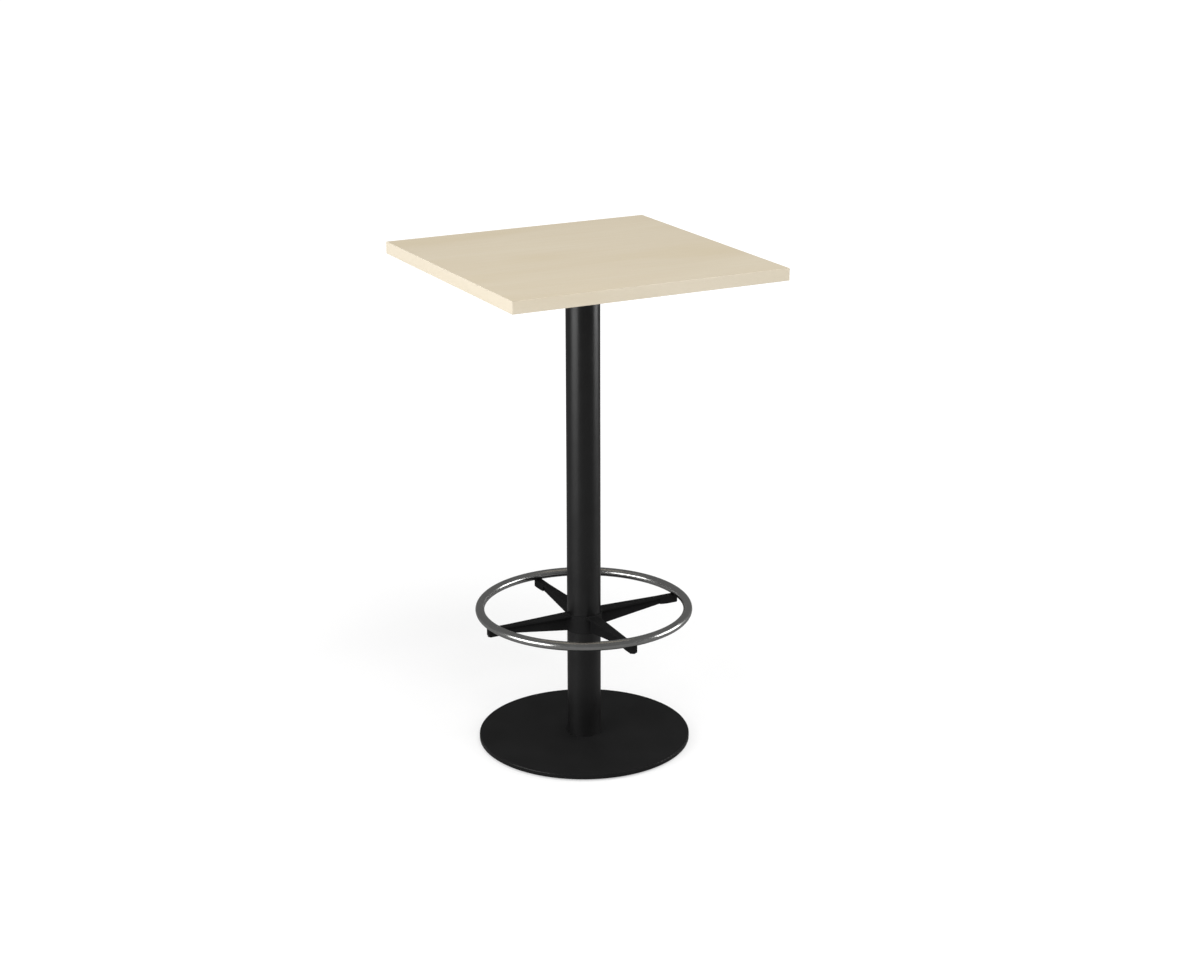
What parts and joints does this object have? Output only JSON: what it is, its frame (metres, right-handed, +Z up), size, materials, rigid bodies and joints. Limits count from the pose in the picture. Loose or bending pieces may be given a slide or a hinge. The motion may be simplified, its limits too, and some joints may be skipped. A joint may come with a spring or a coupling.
{
  "type": "pub table",
  "caption": "Bar-height table with a square woodgrain laminate top on a round column, a flat disc base with levelling glides, and a height-adjustable foot ring.",
  "frame": {"origin": "on the floor, at the centre of the outline, under the column's axis", "axes": "+Z up along the column; the square top's sides and the spiders' arms lie along X and Y; front is -Y"},
  "size_m": [0.6096, 0.6096, 1.069],
  "materials": {
    "particle_board": "raw particle board",
    "maple_laminate": "satin pale maple woodgrain laminate",
    "backing_laminate": "plain matt backing sheet",
    "maple_edge_band": "satin pale maple edge band",
    "black_powder_coat": "fine satin black powder coat on steel",
    "black_cast_iron": "cast iron with satin black powder coat",
    "polished_stainless": "polished stainless tube",
    "zinc_plated_steel": "bright zinc plate",
    "bare_steel": "turned steel",
    "black_oxide_steel": "black oxide",
    "black_nylon": "moulded black nylon"
  },
  "bodies": {
    "table": {"tabletop_core": "particle_board", "top_laminate": "maple_laminate", "backing_laminate": "backing_laminate", "edge_band_left": "maple_edge_band", "edge_band_right": "maple_edge_band", "edge_band_front": "maple_edge_band", "edge_band_back": "maple_edge_band", "top_spider": "black_cast_iron", "spider_screws": "zinc_plated_steel", "column_tube": "black_powder_coat", "tie_rod": "zinc_plated_steel", "tie_rod_washer": "zinc_plated_steel", "tie_rod_spring_washer": "zinc_plated_steel", "tie_rod_nut": "zinc_plated_steel", "base_plate": "black_powder_coat", "column_boss": "bare_steel", "boss_screws": "black_oxide_steel"},
    "foot_ring": {"foot_ring_tube": "polished_stainless", "foot_ring_spider": "black_cast_iron", "foot_ring_screws": "black_oxide_steel", "collar_set_screws": "black_oxide_steel"},
    "glide_stud_front_left": {"glide_stud_front_left": "zinc_plated_steel"},
    "glide_pad_front_left": {"glide_pad_front_left": "black_nylon"},
    "glide_stud_front_right": {"glide_stud_front_right": "zinc_plated_steel"},
    "glide_pad_front_right": {"glide_pad_front_right": "black_nylon"},
    "glide_stud_back_right": {"glide_stud_back_right": "zinc_plated_steel"},
    "glide_pad_back_right": {"glide_pad_back_right": "black_nylon"},
    "glide_stud_back_left": {"glide_stud_back_left": "zinc_plated_steel"},
    "glide_pad_back_left": {"glide_pad_back_left": "black_nylon"}
  },
  "joints": [
    {"name": "foot_ring_height", "type": "slide", "parent": "table", "child": "foot_ring", "axis": [0, 0, 1], "range_m": [-0.12, 0.25]},
    {"name": "glide_travel_front_left", "type": "slide", "parent": "table", "child": "glide_stud_front_left", "axis": [0, 0, -1], "range_m": [0, 0.004]},
    {"name": "glide_turn_front_left", "type": "hinge", "parent": "glide_stud_front_left", "child": "glide_pad_front_left", "pos_m": [-0.13789, -0.13789, 0], "axis": [0, 0, -1], "range_deg": [0, 1152.5]},
    {"name": "glide_travel_front_right", "type": "slide", "parent": "table", "child": "glide_stud_front_right", "axis": [0, 0, -1], "range_m": [0, 0.004]},
    {"name": "glide_turn_front_right", "type": "hinge", "parent": "glide_stud_front_right", "child": "glide_pad_front_right", "pos_m": [0.13789, -0.13789, 0], "axis": [0, 0, -1], "range_deg": [0, 1152.5]},
    {"name": "glide_travel_back_right", "type": "slide", "parent": "table", "child": "glide_stud_back_right", "axis": [0, 0, -1], "range_m": [0, 0.004]},
    {"name": "glide_turn_back_right", "type": "hinge", "parent": "glide_stud_back_right", "child": "glide_pad_back_right", "pos_m": [0.13789, 0.13789, 0], "axis": [0, 0, -1], "range_deg": [0, 1152.5]},
    {"name": "glide_travel_back_left", "type": "slide", "parent": "table", "child": "glide_stud_back_left", "axis": [0, 0, -1], "range_m": [0, 0.004]},
    {"name": "glide_turn_back_left", "type": "hinge", "parent": "glide_stud_back_left", "child": "glide_pad_back_left", "pos_m": [-0.13789, 0.13789, 0], "axis": [0, 0, -1], "range_deg": [0, 1152.5]}
  ],
  "couplings": [
    {"joint": "glide_turn_front_left", "follows": "glide_travel_front_left", "rad_per_m": 5026.5},
    {"joint": "glide_turn_front_right", "follows": "glide_travel_front_right", "rad_per_m": 5026.5},
    {"joint": "glide_turn_back_right", "follows": "glide_travel_back_right", "rad_per_m": 5026.5},
    {"joint": "glide_turn_back_left", "follows": "glide_travel_back_left", "rad_per_m": 5026.5}
  ]
}
